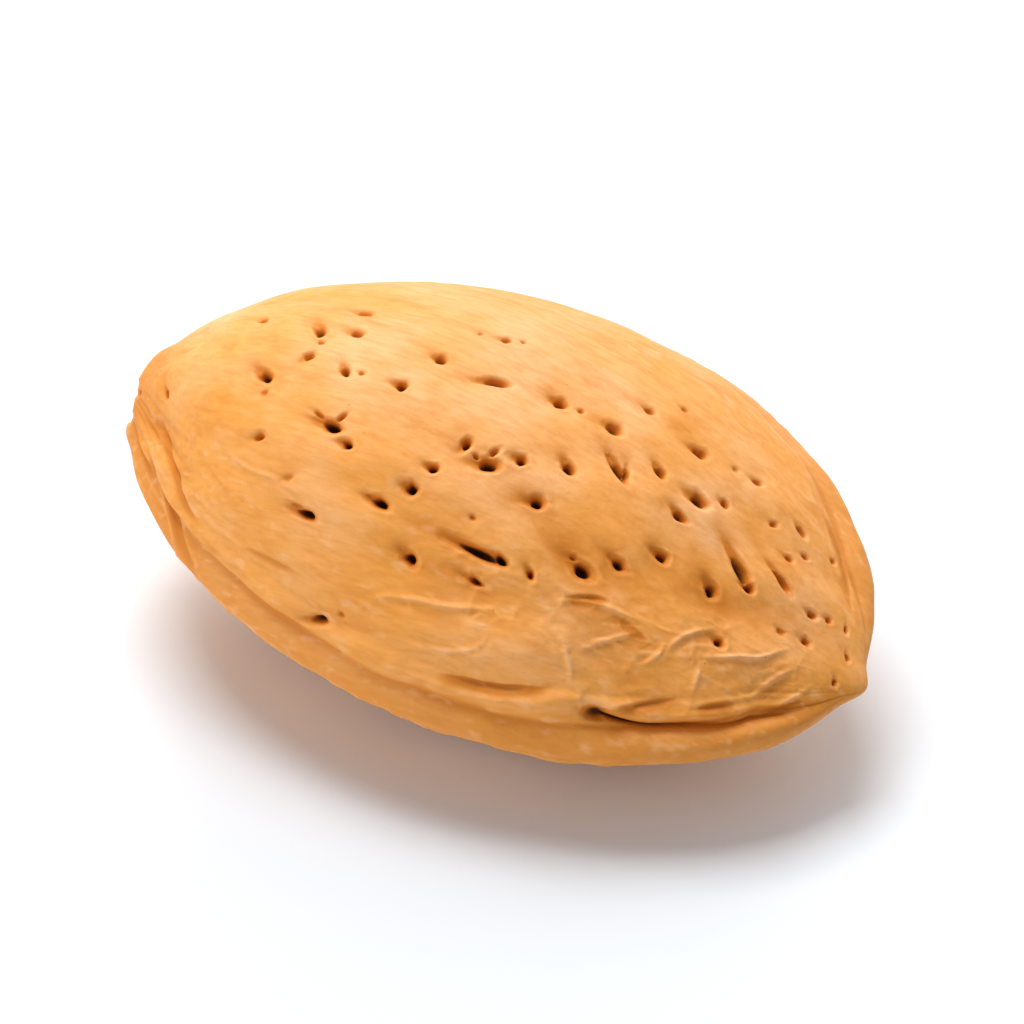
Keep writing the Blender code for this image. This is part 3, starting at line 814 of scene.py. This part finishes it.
starts, full, fades, ended = FLUTES_REACH
flutes = smooth_step(starts, full, radius) * (1.0 - smooth_step(fades, ended, radius))
flutes *= uneven(*FLUTES_UNEVEN) * (station < FLUTES_END_STATION)
flutes *= 1.0 - FLUTES_FADE_UPWARD * smooth_step(*FLUTES_FADE_TURNS, turn_round)
print("flutes in mm:", flutes.min().round(2), flutes.max().round(2))

# %% Nub
NUB_LENGTH = 0.55
NUB_RADIUS = 0.9
nub = NUB_LENGTH * bell(radius, 0.0, NUB_RADIUS) * (station >= 0.0)
print("nub in mm:", nub.max().round(2))

# %% [markdown]
# ## The lines given one by one
#
# Every point near a line asks the tree how far the line is. A raised line is a thin bell
# with a shelf on its keel side, as where one layer of the shell ends on another. A crease
# has a steep wall on its back side and a soft slope on its keel side.

# %% Raised lines and creases on the shell
RAISED_WIDTH = 0.13
CREASE_WALL = 0.12
CREASE_SLOPE = 0.34
SHELF_DEPTH = 0.8
SHELF_START = 0.35
SHELF_REACH = 0.9
FARTHEST = 3.0


def measure_lines(laid):
    """For every point: the nearest line's height with its fade, and how far it is keelward."""
    heights = np.concatenate([height * fade for height, _, _, fade in laid])
    places = np.concatenate([places for _, places, _, _ in laid])
    keelward = np.concatenate([keelward for _, _, keelward, _ in laid])
    tree = make_tree(places)
    height, away = np.zeros(len(x)), np.full(len(x), FARTHEST)
    for index in np.flatnonzero(is_upper):
        _, nearest, distance = tree.find(smooth_points[index])
        if distance < FARTHEST:
            side = (smooth_points[index] - places[nearest]) @ keelward[nearest]
            height[index], away[index] = heights[nearest], math.copysign(distance, side)
    return height, away


height, away = measure_lines(laid_raised)
shelf = smooth_step(0.0, SHELF_START, away) * np.exp(-np.clip(away, 0.0, None) / SHELF_REACH)
raised = height * bell(away, 0.0, RAISED_WIDTH)
shelves = SHELF_DEPTH * height * shelf
depth, away = measure_lines(laid_creases)
creases = depth * bell(away, 0.0, np.where(away < 0.0, CREASE_WALL, CREASE_SLOPE))
print("highest line and deepest crease in mm:", raised.max().round(2), creases.max().round(2))

# %% Raise all of the relief
END_FADE = 4.0
ends = np.clip(END_FADE * (1.0 - station**2), 0.0, 1.0)
relief = ends * (seams + folds + net + strands + flutes + raised - shelves) - creases
points = smooth_points + outward * relief[:, None]
points[:, 0] += scar + nub
print("relief in mm:", relief.min().round(2), relief.max().round(2))

# %% [markdown]
# ## Sink the pits
#
# A pit is a funnel: a steep wall, a small floor and a soft shoulder. Cutting each with a
# Boolean would leave hard rims. Here the points near a pit are pushed in along its own
# direction instead. Its outline wavers a little, and where two pits meet the deeper one wins.

# %% Sizes of a pit
PIT_FLOOR = 0.10
PIT_RIM = 1.0
PIT_WAVER = 0.32
TURN_SOFTENING = 0.1
SHOULDER_DEPTH = 0.10
SHOULDER_PLACE = 0.8
SHOULDER_WIDTH = 0.45
SHOULDER_REACH = 3.5
TAIL_DEPTH = 0.32
TAIL_LENGTH = 2.9
TAIL_WIDTH = 0.8
PIT_LIP_HEIGHT = 0.04
PIT_LIP_PLACE = 1.5
PIT_LIP_WIDTH = 0.3
HALO_WIDTH = 1.9
HALO_UPHILL = 0.6
DIMPLE_DEPTH = 0.13
DIMPLE_WIDTH = 2.5
FULL_STRENGTH_DEPTH = 0.8
NO_LIP_DEPTH = 0.1

# %% Push the points in
rim_lift = np.zeros(len(points))
pit_shade_halo = np.zeros(len(points))
dimples = np.zeros(len(points))
pit_depth = np.zeros(len(points))
pit_move = np.zeros_like(points)
for number, pit in enumerate(pits + faint_marks):
    here, ahead, aside, out = pit_frame(pit)
    offset = smooth_points - here
    along, across = offset @ ahead / (pit.length / 2), offset @ aside / (pit.width / 2)
    distance = np.hypot(along, across)
    close = (distance < SHOULDER_REACH + 2.0) & (np.abs(offset @ out) < DEEPEST_REACH)
    near = np.flatnonzero(close)
    along, across, distance = along[near], across[near], distance[near]
    turns = np.stack([along, across], axis=1) / (distance[:, None] + TURN_SOFTENING)
    wavers = np.array([noise.noise((a + number, b, number / 2)) for a, b in turns])
    distance = distance * (1.0 + PIT_WAVER * wavers)
    sunk = pit.depth * (1.0 - smooth_step(PIT_FLOOR, PIT_RIM, distance))
    sunk += SHOULDER_DEPTH * pit.depth * bell(distance, SHOULDER_PLACE, SHOULDER_WIDTH)
    tail = bell(across, 0.0, TAIL_WIDTH) * smooth_step(-TAIL_LENGTH, 0.0, along)
    tail *= along < 0.0
    sunk = np.maximum(sunk, TAIL_DEPTH * pit.depth * tail)
    strength = min(1.0, pit.depth / FULL_STRENGTH_DEPTH)
    lift = PIT_LIP_HEIGHT * strength * bell(distance, PIT_LIP_PLACE, PIT_LIP_WIDTH)
    rim_lift[near] = np.maximum(rim_lift[near], lift)
    # a halo of painted shade round each pit, reaching farther uphill; it only darkens the colour
    spread = np.hypot(np.where(along < 0.0, HALO_UPHILL * along, along), across)
    pit_shade_halo[near] = np.maximum(pit_shade_halo[near], strength * bell(spread, 0.0, HALO_WIDTH))
    dimple = DIMPLE_DEPTH * strength * bell(spread, 0.0, DIMPLE_WIDTH)
    dimples[near] = np.maximum(dimples[near], dimple)
    deeper = sunk > pit_depth[near]
    pit_depth[near[deeper]] = sunk[deeper]
    pit_move[near[deeper]] = -out * sunk[deeper, None]
rim_lift *= 1.0 - np.clip(pit_depth / NO_LIP_DEPTH, 0.0, 1.0)
points += pit_move + outward * (rim_lift - dimples)[:, None]
print("deepest pit in mm:", pit_depth.max().round(2))

# %% [markdown]
# ## Lay it down
#
# The nut lies on one broad side, rolled towards its keel and dipped a little to the tip. It
# is turned as the model is, and then fitted to the model's box, so that the two agree.

# %% Turn and fit
ROLL = math.radians(11.2)
PITCH = math.radians(5.0)
REST_FLAT_DEPTH = 0.35
FIT_INSIDE = 0.9995

turn = np.array(Euler((ROLL, PITCH, 0.0)).to_matrix())
points = points @ turn.T
low, high = [np.array(corner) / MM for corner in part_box("almond_shell")]
own_size = np.ptp(points, axis=0) - (0.0, 0.0, REST_FLAT_DEPTH)
fit = FIT_INSIDE * min(1.0, *((high - low) / own_size))
points *= fit
middle = (points.min(axis=0) + points.max(axis=0)) / 2
points -= (middle[0], middle[1], points[:, 2].min() + REST_FLAT_DEPTH * fit)
write_points(shell.data, points)
print("scaled by", round(float(fit), 4))

# %% [markdown]
# ## What the material needs to know
#
# Colour follows form on a shell, and much of it here is painted light and shade: the bottoms
# of the pits, cracks, creases and scar holes get painted shade, the hollows between folds are
# painted a deeper orange brown as shade, and the crests are paler, partly rubbed and partly a
# painted highlight. Each of these is kept as a number on every point, which the material reads
# as an attribute.

# %% Painted shade in the hollows
DARK_PIT_DEPTH = 0.7
DARK_CRACK_DEPTH = 0.45
DARK_SCAR_DEPTH = 0.45
DARK_CREASE_DEPTH = 0.4
CREASE_DARKEST = 0.5
SCAR_DARKEST = 0.9


def keep_attribute(mesh, name, values):
    attribute = mesh.attributes.new(name, "FLOAT", "POINT")
    attribute.data.foreach_set("value", np.asarray(values, dtype=np.float32))


at_stem_end = station < 0.0
pit_dark = np.clip(pit_depth / DARK_PIT_DEPTH, 0.0, 1.0)
crack_dark = np.clip((slit + 0.2 * crack) * on_keel_side / DARK_CRACK_DEPTH, 0.0, 1.0)
crease_dark = np.clip(creases / DARK_CREASE_DEPTH, 0.0, CREASE_DARKEST)
scar_dark = (scar_holes + 0.7 * scar_core - 0.6 * scar_fibres) / DARK_SCAR_DEPTH
scar_dark = np.clip(scar_dark, 0.0, SCAR_DARKEST) * (radius < SCAR_RING_RADIUS) * at_stem_end
# painted shade: the bottoms of the pits, the crack, the scar's holes and the creases are
# darkened
hollow_shade = np.maximum.reduce([pit_dark, crack_dark, scar_dark, crease_dark])
keep_attribute(shell.data, "hollow_shade", hollow_shade)
print("share of points that are dark:", (hollow_shade > 0.5).mean().round(3))

# %% Pale crests, painted highlights and painted shade
CREST_LEVEL = 0.5
STEM_SHADE_ENDS = (2.5, 5.5)

# how much each part of the relief makes the shell paler, or darker where it is below 0; the
# paling of the crests is partly rubbed wear and partly a painted highlight, the paling of the
# pit lips is a painted highlight, and the darkening of the fold valleys, creases, shelves,
# groove, pit halos, the net's zone and the stem end is painted shade
crest_and_shade_parts = (
    (0.7, folds),
    (2.5, net),
    (4.0, raised),
    (-2.5, shelves),
    (2.2, strands),
    (-0.12, in_net * is_upper),
    (2.5, flutes * (ends > 0.2)),
    (-0.2, (1.0 - smooth_step(*STEM_SHADE_ENDS, radius)) * at_stem_end),
    (0.25, rim_lift / PIT_LIP_HEIGHT),
    (-2.5, creases),
    (-1.5, groove),
    (-0.4, pit_shade_halo),
)
crest_and_shade = CREST_LEVEL + sum(weight * part for weight, part in crest_and_shade_parts)
keep_attribute(shell.data, "crest_and_shade", np.clip(crest_and_shade, 0.0, 1.0))
print("mean crest level:", crest_and_shade.mean().round(2))

# %% Edges, crown and scar, with painted shade and painted sheen
CROWN_LANES = (math.radians(25.0), math.radians(70.0))
CROWN_ACROSS = (-5.0, 4.0)
CROWN_AT_EDGE = 0.3
CROWN_AT_KEEL = 0.55
EDGE_AT_BACK = 0.9
EDGE_AT_STEM = 0.8
STEM_COLOUR_ENDS = (2.5, 6.0)
STRAW_ENDS = (1.8, 3.0)
STRAW_LEVEL = 0.75
STRAW_UNEVEN = (0.5, (7.0, 9.4, 0.5))

# deeper orange along the seams and at the stem end: partly the shell's own tone, partly painted
# shade
edge = bell(lane, 0.0, SEAM_LANE) * np.where(on_keel_side, 1.0, EDGE_AT_BACK)
stem_colour = (1.0 - smooth_step(*STEM_COLOUR_ENDS, radius)) * at_stem_end
edge = np.maximum(edge, EDGE_AT_STEM * stem_colour)
keep_attribute(shell.data, "edge", edge)
# and partly a painted sheen from the lights above and behind
# paler on the middle of the broad sides and towards the back: partly the shell's drier tone
crown_and_sheen = smooth_step(*CROWN_LANES, lane)
crown_and_sheen *= CROWN_AT_KEEL + (1.0 - CROWN_AT_KEEL) * smooth_step(*CROWN_ACROSS, y)
keep_attribute(shell.data, "crown_and_sheen", CROWN_AT_EDGE + (1.0 - CROWN_AT_EDGE) * crown_and_sheen)
straw = (1.0 - smooth_step(*STRAW_ENDS, uneven_radius)) * at_stem_end
keep_attribute(shell.data, "scar", straw * (STRAW_LEVEL + uneven(*STRAW_UNEVEN)))
print("attributes:", [attribute.name for attribute in shell.data.attributes])

# %% [markdown]
# ## Thin out the smooth parts
#
# The subdivided mesh is far heavier than it needs to be where the shell is smooth. A decimate
# modifier takes faces away there and keeps them where the form is sharp, and carries the
# attributes along.

# %% Decimate
MOST_TRIANGLES = 188_000

triangles = sum(len(face.vertices) - 2 for face in shell.data.polygons)
thinning = shell.modifiers.new("thin_out", "DECIMATE")
thinning.ratio = min(1.0, MOST_TRIANGLES / triangles)
bpy.ops.object.modifier_apply(modifier=thinning.name)
print("triangles before:", triangles, "and faces after:", len(shell.data.polygons))

# %% [markdown]
# ## The rest flat
#
# The model stands on a small flat under the nut. The shell is cut there with a bisect that
# clears what is below and fills the cut, and then everything is turned into triangles.

# %% Cut the flat and smooth the rest
bpy.ops.object.mode_set(mode="EDIT")
bpy.ops.mesh.select_all(action="SELECT")
bpy.ops.mesh.bisect(
    plane_co=(0.0, 0.0, 0.0),
    plane_no=(0.0, 0.0, 1.0),
    use_fill=True,
    clear_inner=True,
    threshold=0.001 * MM,
)
bpy.ops.mesh.select_all(action="SELECT")
bpy.ops.mesh.quads_convert_to_tris(quad_method="BEAUTY", ngon_method="BEAUTY")
bpy.ops.object.mode_set(mode="OBJECT")
bpy.ops.object.shade_smooth()
for face in shell.data.polygons:
    face.use_smooth = face.center.z > 0.002 * MM
print("shell triangles:", len(shell.data.polygons))

# %% [markdown]
# ## Shell material
#
# A dry almond shell is matt and slightly waxy, with fine fibres along the nut and tiny pores.
# Its pale peach is partly rubbed wear and partly a painted sheen and highlight, and the orange
# brown and the dark of its hollows are painted shade. Colour comes in layers: a cloudy base
# paled on the crown, paler crests, a deeper edge that is partly painted shade, fine fibres, pale
# flecks that are painted glints, and last the painted shade of the pits.

# %% Node helper
def add_node(tree, kind, inputs=None, **settings):
    """Add a node, set its settings and fill its inputs with values or other outputs."""
    node = tree.nodes.new(kind)
    for name, value in settings.items():
        setattr(node, name, value)
    for name, value in (inputs or {}).items():
        if isinstance(value, bpy.types.NodeSocket):
            tree.links.new(value, node.inputs[name])
        else:
            node.inputs[name].default_value = value
    return node


def noise_pattern(tree, places, scale, detail=2.0, roughness=0.5):
    inputs = {"Vector": places, "Scale": scale, "Detail": detail, "Roughness": roughness}
    return add_node(tree, "ShaderNodeTexNoise", inputs).outputs["Fac"]


def soft_range(tree, value, start, end, low=0.0, high=1.0):
    inputs = {"Value": value, "From Min": start, "From Max": end, "To Min": low, "To Max": high}
    node = add_node(tree, "ShaderNodeMapRange", inputs, interpolation_type="SMOOTHSTEP")
    return node.outputs["Result"]


def mix_colour(tree, share, first, second, blend="MIX"):
    node = add_node(tree, "ShaderNodeMix", data_type="RGBA", blend_type=blend)
    sockets = (node.inputs[0], node.inputs[6], node.inputs[7])
    for socket, value in zip(sockets, (share, first, second)):
        if isinstance(value, bpy.types.NodeSocket):
            tree.links.new(value, socket)
        else:
            socket.default_value = value
    return node.outputs[2]


def multiply(tree, first, second):
    node = add_node(tree, "ShaderNodeMath", {0: first, 1: second}, operation="MULTIPLY")
    return node.outputs["Value"]


def read_attribute(tree, name):
    return add_node(tree, "ShaderNodeAttribute", attribute_name=name).outputs["Fac"]


# %% Base colours
PALE_PEACH = (0.97, 0.50, 0.21, 1.0)
WARM_TAN = (0.91, 0.37, 0.062, 1.0)
ORANGE_BROWN = (0.70, 0.225, 0.018, 1.0)
HOLLOW_SHADE_BROWN = (0.10, 0.030, 0.006, 1.0)
STRAW = (0.83, 0.48, 0.18, 1.0)
PER_MM = 1.0 / MM

shell_material = bpy.data.materials.new("dry_almond_shell")
shell_material.use_nodes = True
tree = shell_material.node_tree
surface = tree.nodes["Principled BSDF"]
coordinates = add_node(tree, "ShaderNodeTexCoord").outputs["Object"]
in_mm = add_node(
    tree, "ShaderNodeMapping", {"Vector": coordinates, "Scale": (PER_MM, PER_MM, PER_MM)}
).outputs["Vector"]
along_nut = add_node(
    tree, "ShaderNodeMapping", {"Vector": in_mm, "Scale": (0.22, 1.0, 1.0)}
).outputs["Vector"]

# the pale crown: partly the shell's drier tone and partly a painted sheen
clouds = soft_range(tree, noise_pattern(tree, in_mm, 0.22, detail=3.0), 0.3, 0.75)
pale_and_sheen_share = multiply(tree, clouds, read_attribute(tree, "crown_and_sheen"))
colour = mix_colour(tree, pale_and_sheen_share, WARM_TAN, PALE_PEACH)
# orange brown where this level is low is painted shade; pale peach where it is high is partly
# rubbed wear and partly a painted highlight
crest_and_shade_level = read_attribute(tree, "crest_and_shade")
colour = mix_colour(tree, soft_range(tree, crest_and_shade_level, 0.0, 0.5), ORANGE_BROWN, colour)
colour = mix_colour(tree, soft_range(tree, crest_and_shade_level, 0.55, 1.0), colour, PALE_PEACH)
# the deeper edge: partly the shell's own tone and partly painted shade
edge_share = soft_range(tree, read_attribute(tree, "edge"), 0.1, 1.0, 0.0, 0.42)
colour = mix_colour(tree, edge_share, colour, ORANGE_BROWN)
scar_share = soft_range(tree, read_attribute(tree, "scar"), 0.0, 1.0, 0.0, 0.6)
colour = mix_colour(tree, scar_share, colour, STRAW)
scar_grain = noise_pattern(tree, in_mm, 3.0, detail=3.0, roughness=0.7)
grain_share = multiply(tree, soft_range(tree, scar_grain, 0.45, 0.65), scar_share)
colour = mix_colour(tree, grain_share, colour, ORANGE_BROWN)

# %% Fibres, pores, painted glints and the painted shade of the pits
fibres = noise_pattern(tree, along_nut, 3.2, detail=4.0, roughness=0.6)
fibre_share = soft_range(tree, fibres, 0.35, 0.75, 0.0, 0.34)
colour = mix_colour(tree, fibre_share, colour, ORANGE_BROWN)
streaks = noise_pattern(tree, along_nut, 0.9, detail=3.0, roughness=0.6)
streak_share = soft_range(tree, streaks, 0.5, 0.75, 0.0, 0.5)
colour = mix_colour(tree, streak_share, colour, ORANGE_BROWN)
pores = add_node(
    tree, "ShaderNodeTexVoronoi", {"Vector": in_mm, "Scale": 1.15, "Randomness": 1.0}
).outputs["Distance"]
few = noise_pattern(tree, in_mm, 0.5)
pore_spots = soft_range(tree, pores, 0.02, 0.09, 1.0, 0.0)
pore_share = multiply(tree, pore_spots, soft_range(tree, few, 0.5, 0.62))
colour = mix_colour(tree, pore_share, colour, ORANGE_BROWN)

# pale flecks: painted glints, partly chalky scuffs, kept off the crown
fleck_places = add_node(
    tree, "ShaderNodeMapping", {"Vector": in_mm, "Scale": (0.45, 1.0, 1.0)}
).outputs["Vector"]
glint_flecks = soft_range(tree, noise_pattern(tree, fleck_places, 1.8), 0.54, 0.74, 0.0, 0.5)
off_crown = soft_range(tree, read_attribute(tree, "crown_and_sheen"), 0.4, 1.0, 1.0, 0.15)
colour = mix_colour(tree, multiply(tree, glint_flecks, off_crown), colour, PALE_PEACH)

# painted shade: orange brown round the pits, crack and creases, and near black at their bottoms
hollow_shade_level = read_attribute(tree, "hollow_shade")
colour = mix_colour(tree, soft_range(tree, hollow_shade_level, 0.02, 0.25), colour, ORANGE_BROWN)
colour = mix_colour(tree, soft_range(tree, hollow_shade_level, 0.3, 1.0), colour, HOLLOW_SHADE_BROWN)
tree.links.new(colour, surface.inputs["Base Color"])

# %% Gloss and grain
surface.inputs["Metallic"].default_value = 0.0
surface.inputs["Specular IOR Level"].default_value = 0.3
surface.inputs["Subsurface Weight"].default_value = 0.08
surface.inputs["Subsurface Radius"].default_value = (1.0, 0.4, 0.15)
surface.inputs["Subsurface Scale"].default_value = 0.5 * MM
tree.links.new(soft_range(tree, fibres, 0.3, 0.8, 0.5, 0.68), surface.inputs["Roughness"])

grain = noise_pattern(tree, in_mm, 4.5, detail=3.0, roughness=0.6)
dents = noise_pattern(tree, fleck_places, 0.9, detail=3.0)
dent_bump = add_node(
    tree, "ShaderNodeBump", {"Height": dents, "Strength": 0.45, "Distance": 0.16 * MM}
)
fibre_bump = add_node(
    tree,
    "ShaderNodeBump",
    {"Height": fibres, "Strength": 0.4, "Distance": 0.06 * MM, "Normal": dent_bump.outputs[0]},
)
grain_bump = add_node(
    tree,
    "ShaderNodeBump",
    {"Height": grain, "Strength": 0.3, "Distance": 0.04 * MM, "Normal": fibre_bump.outputs[0]},
)
tree.links.new(grain_bump.outputs[0], surface.inputs["Normal"])
shell.data.materials.append(shell_material)
print("shell material nodes:", len(tree.nodes))

# %% Bind the shell to the model
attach(shell, "root")
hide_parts("almond_shell")
print("bound:", shell.name)

# %% [markdown]
# ## Floor, light and camera
#
# The nut lies on a plain white floor. One large soft light hangs above it and one stands
# behind, so that its near side is in gentle shade. A weaker light at the camera's left and
# the bright world fill the shadows. The camera looks down at 40 degrees, past the keel.

# %% Floor
FLOOR_SIZE = 2.0
bpy.ops.object.select_all(action="DESELECT")
bpy.ops.mesh.primitive_plane_add(size=FLOOR_SIZE)
floor = bpy.context.object
floor.name = "studio_floor"
floor_material = bpy.data.materials.new("white_floor")
floor_material.use_nodes = True
floor_surface = floor_material.node_tree.nodes["Principled BSDF"]
floor_surface.inputs["Base Color"].default_value = (0.81, 0.85, 0.89, 1.0)
floor_surface.inputs["Roughness"].default_value = 0.7
floor.data.materials.append(floor_material)
print("floor in metres:", FLOOR_SIZE)

# %% Lights
SUBJECT = (low + high) / 2 * MM


def add_area_light(name, place, size, power):
    """A square light that faces the nut; place is in metres from its middle."""
    lamp = bpy.data.lights.new(name, "AREA")
    lamp.size = size
    lamp.energy = power
    light = bpy.data.objects.new(name, lamp)
    bpy.context.collection.objects.link(light)
    light.location = Vector(SUBJECT) + Vector(place)
    light.rotation_euler = (-Vector(place)).to_track_quat("-Z", "Y").to_euler()


add_area_light("softbox_above", (-0.11, 0.10, 0.38), 0.24, 1.46)
add_area_light("softbox_behind", (-0.10, 0.31, 0.17), 0.30, 0.72)
add_area_light("fill_at_left", (-0.30, -0.33, 0.16), 0.30, 0.85)
world = bpy.data.worlds.new("studio")
bpy.context.scene.world = world
world.use_nodes = True
world.node_tree.nodes["Background"].inputs["Color"].default_value = (0.94, 0.97, 1.0, 1.0)
world.node_tree.nodes["Background"].inputs["Strength"].default_value = 0.3
bpy.context.scene.view_settings.view_transform = "Standard"
print("lights:", [light.name for light in bpy.data.lights])

# %% Camera
AZIMUTH = math.radians(27.0)
ELEVATION = math.radians(40.0)
CAMERA_DISTANCE = 0.352
CAMERA_LENS = 262.0

towards_camera = Vector(
    (
        math.sin(AZIMUTH) * math.cos(ELEVATION),
        -math.cos(AZIMUTH) * math.cos(ELEVATION),
        math.sin(ELEVATION),
    )
)
lens = bpy.data.cameras.new("camera")
lens.lens = CAMERA_LENS
camera = bpy.data.objects.new("camera", lens)
bpy.context.collection.objects.link(camera)
camera.location = Vector(SUBJECT) + CAMERA_DISTANCE * towards_camera
camera.rotation_euler = (-towards_camera).to_track_quat("-Z", "Y").to_euler()
bpy.context.scene.camera = camera
print("camera in metres:", [round(v, 3) for v in camera.location])
